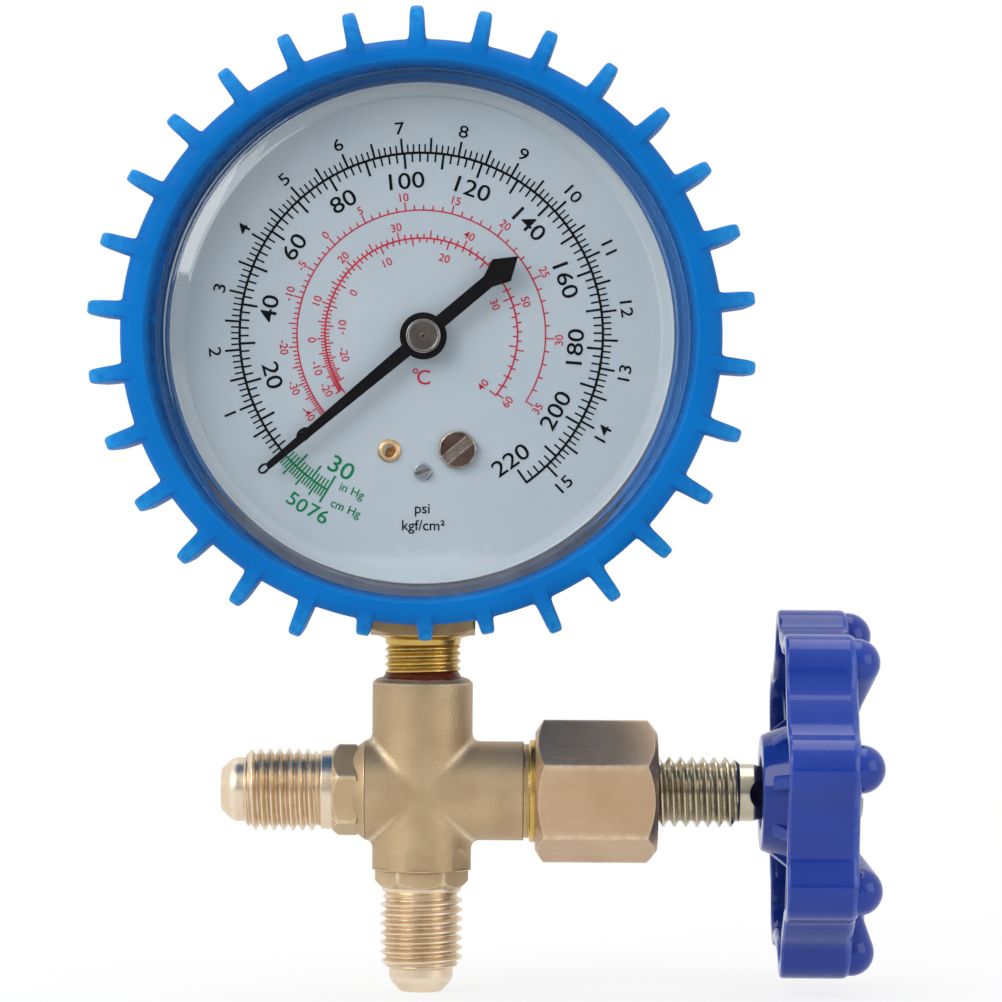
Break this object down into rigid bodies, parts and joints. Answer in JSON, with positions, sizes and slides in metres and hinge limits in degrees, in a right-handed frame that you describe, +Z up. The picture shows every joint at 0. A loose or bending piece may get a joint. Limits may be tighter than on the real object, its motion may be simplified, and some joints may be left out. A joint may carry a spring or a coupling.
{
  "type": "refrigerant manifold gauge",
  "caption": "Single-gauge charging manifold: a dial gauge in a finned rubber boot on a cross-shaped brass body with flare ports and a hand valve turned by a lobed wheel",
  "frame": {"origin": "on the axis of the bottom flare port, where its thread begins below the hex collar's shank", "axes": "+Z up to the gauge, -Y out of the dial towards the reader, +X along the valve stem to the handwheel"},
  "size_m": [0.1038, 0.0494, 0.131],
  "materials": {
    "body_brass": "forged and tumbled brass, satin, fine-grained",
    "sealant": "cured red-brown anaerobic sealant",
    "socket_brass": "machined bright brass",
    "case_steel": "black enamelled pressed steel",
    "screw_steel": "zinc-plated steel",
    "boot_rubber": "smooth blue moulded rubber",
    "dial_paint": "matt pale grey enamel with printed scales",
    "screw_nickel": "nickel-plated",
    "eyelet_brass": "bright brass",
    "window_plastic": "clear moulded polycarbonate",
    "gasket_rubber": "black rubber",
    "movement_brass": "stamped brass sheet",
    "movement_steel": "turned steel",
    "spring_bronze": "drawn phosphor bronze strip",
    "tube_bronze": "drawn phosphor bronze",
    "bonnet_brass": "machined brass with a warm tarnish",
    "washer_brass": "bright soft brass",
    "pointer_paint": "matt black enamel",
    "seat_plastic": "white fluoropolymer",
    "stem_nickel": "nickel-plated brass",
    "wheel_plastic": "dark blue moulded plastic"
  },
  "bodies": {
    "manifold": {"manifold_body": "body_brass", "thread_sealant": "sealant", "gauge_socket": "socket_brass", "gauge_case": "case_steel", "case_screws": "screw_steel", "gauge_boot": "boot_rubber", "dial_plate": "dial_paint", "dial_screws": "screw_nickel", "dial_eyelet": "eyelet_brass", "window": "window_plastic", "window_gasket": "gasket_rubber", "movement_front_plate": "movement_brass", "movement_back_plate": "movement_brass", "movement_posts": "movement_brass", "movement_screws": "screw_steel", "hairspring": "spring_bronze", "bourdon_tube": "tube_bronze", "valve_bonnet": "bonnet_brass", "bonnet_washer": "washer_brass"},
    "pointer": {"pointer": "pointer_paint", "pointer_bush": "screw_nickel", "pinion_shaft": "movement_steel"},
    "sector": {"sector_gear": "movement_brass", "sector_arbor": "movement_steel", "tail_pin": "movement_steel"},
    "link": {"link": "movement_brass"},
    "tube_end": {"tube_tip": "tube_bronze", "tip_pin": "movement_steel"},
    "seat_disc": {"seat_disc": "seat_plastic"},
    "valve_stem": {"valve_stem": "stem_nickel", "stem_o_rings": "gasket_rubber", "handwheel": "wheel_plastic", "handwheel_washer": "screw_steel", "handwheel_screw": "screw_steel"}
  },
  "joints": [
    {"name": "valve_travel", "type": "slide", "parent": "manifold", "child": "seat_disc", "axis": [1, 0, 0], "range_m": [-0.00451, 0.00151]},
    {"name": "valve_turn", "type": "hinge", "parent": "seat_disc", "child": "valve_stem", "pos_m": [0, 0, 0.0138], "axis": [1, 0, 0], "range_deg": [-1080, 360]},
    {"name": "tube_end_swing", "type": "hinge", "parent": "manifold", "child": "tube_end", "pos_m": [-0.00445, 0, 0.08153], "axis": [0, 1, 0], "range_deg": [-9, 0.6], "stiffness_Nm_per_rad": 0.3, "deforming": ["bourdon_tube"]},
    {"name": "sector_swing", "type": "hinge", "parent": "manifold", "child": "sector", "pos_m": [-0.00299, 0, 0.06412], "axis": [0, 1, 0], "range_deg": [-39.4, 2.8]},
    {"name": "link_swing", "type": "hinge", "parent": "sector", "child": "link", "pos_m": [-0.00234, 0, 0.05917], "axis": [0, 1, 0], "range_deg": [-2.4, 32.8]},
    {"name": "pointer_turn", "type": "hinge", "parent": "manifold", "child": "pointer", "pos_m": [0, 0, 0.0745], "axis": [0, 1, 0], "range_deg": [-18.4, 274.9], "deforming": ["hairspring"]}
  ],
  "couplings": [
    {"joint": "valve_travel", "follows": "valve_turn", "m_per_rad": 0.00023873},
    {"joint": "sector_swing", "follows": "tube_end_swing", "ratio": 4.3614},
    {"joint": "link_swing", "follows": "tube_end_swing", "ratio": -3.6237},
    {"joint": "pointer_turn", "follows": "tube_end_swing", "ratio": -30.53}
  ]
}
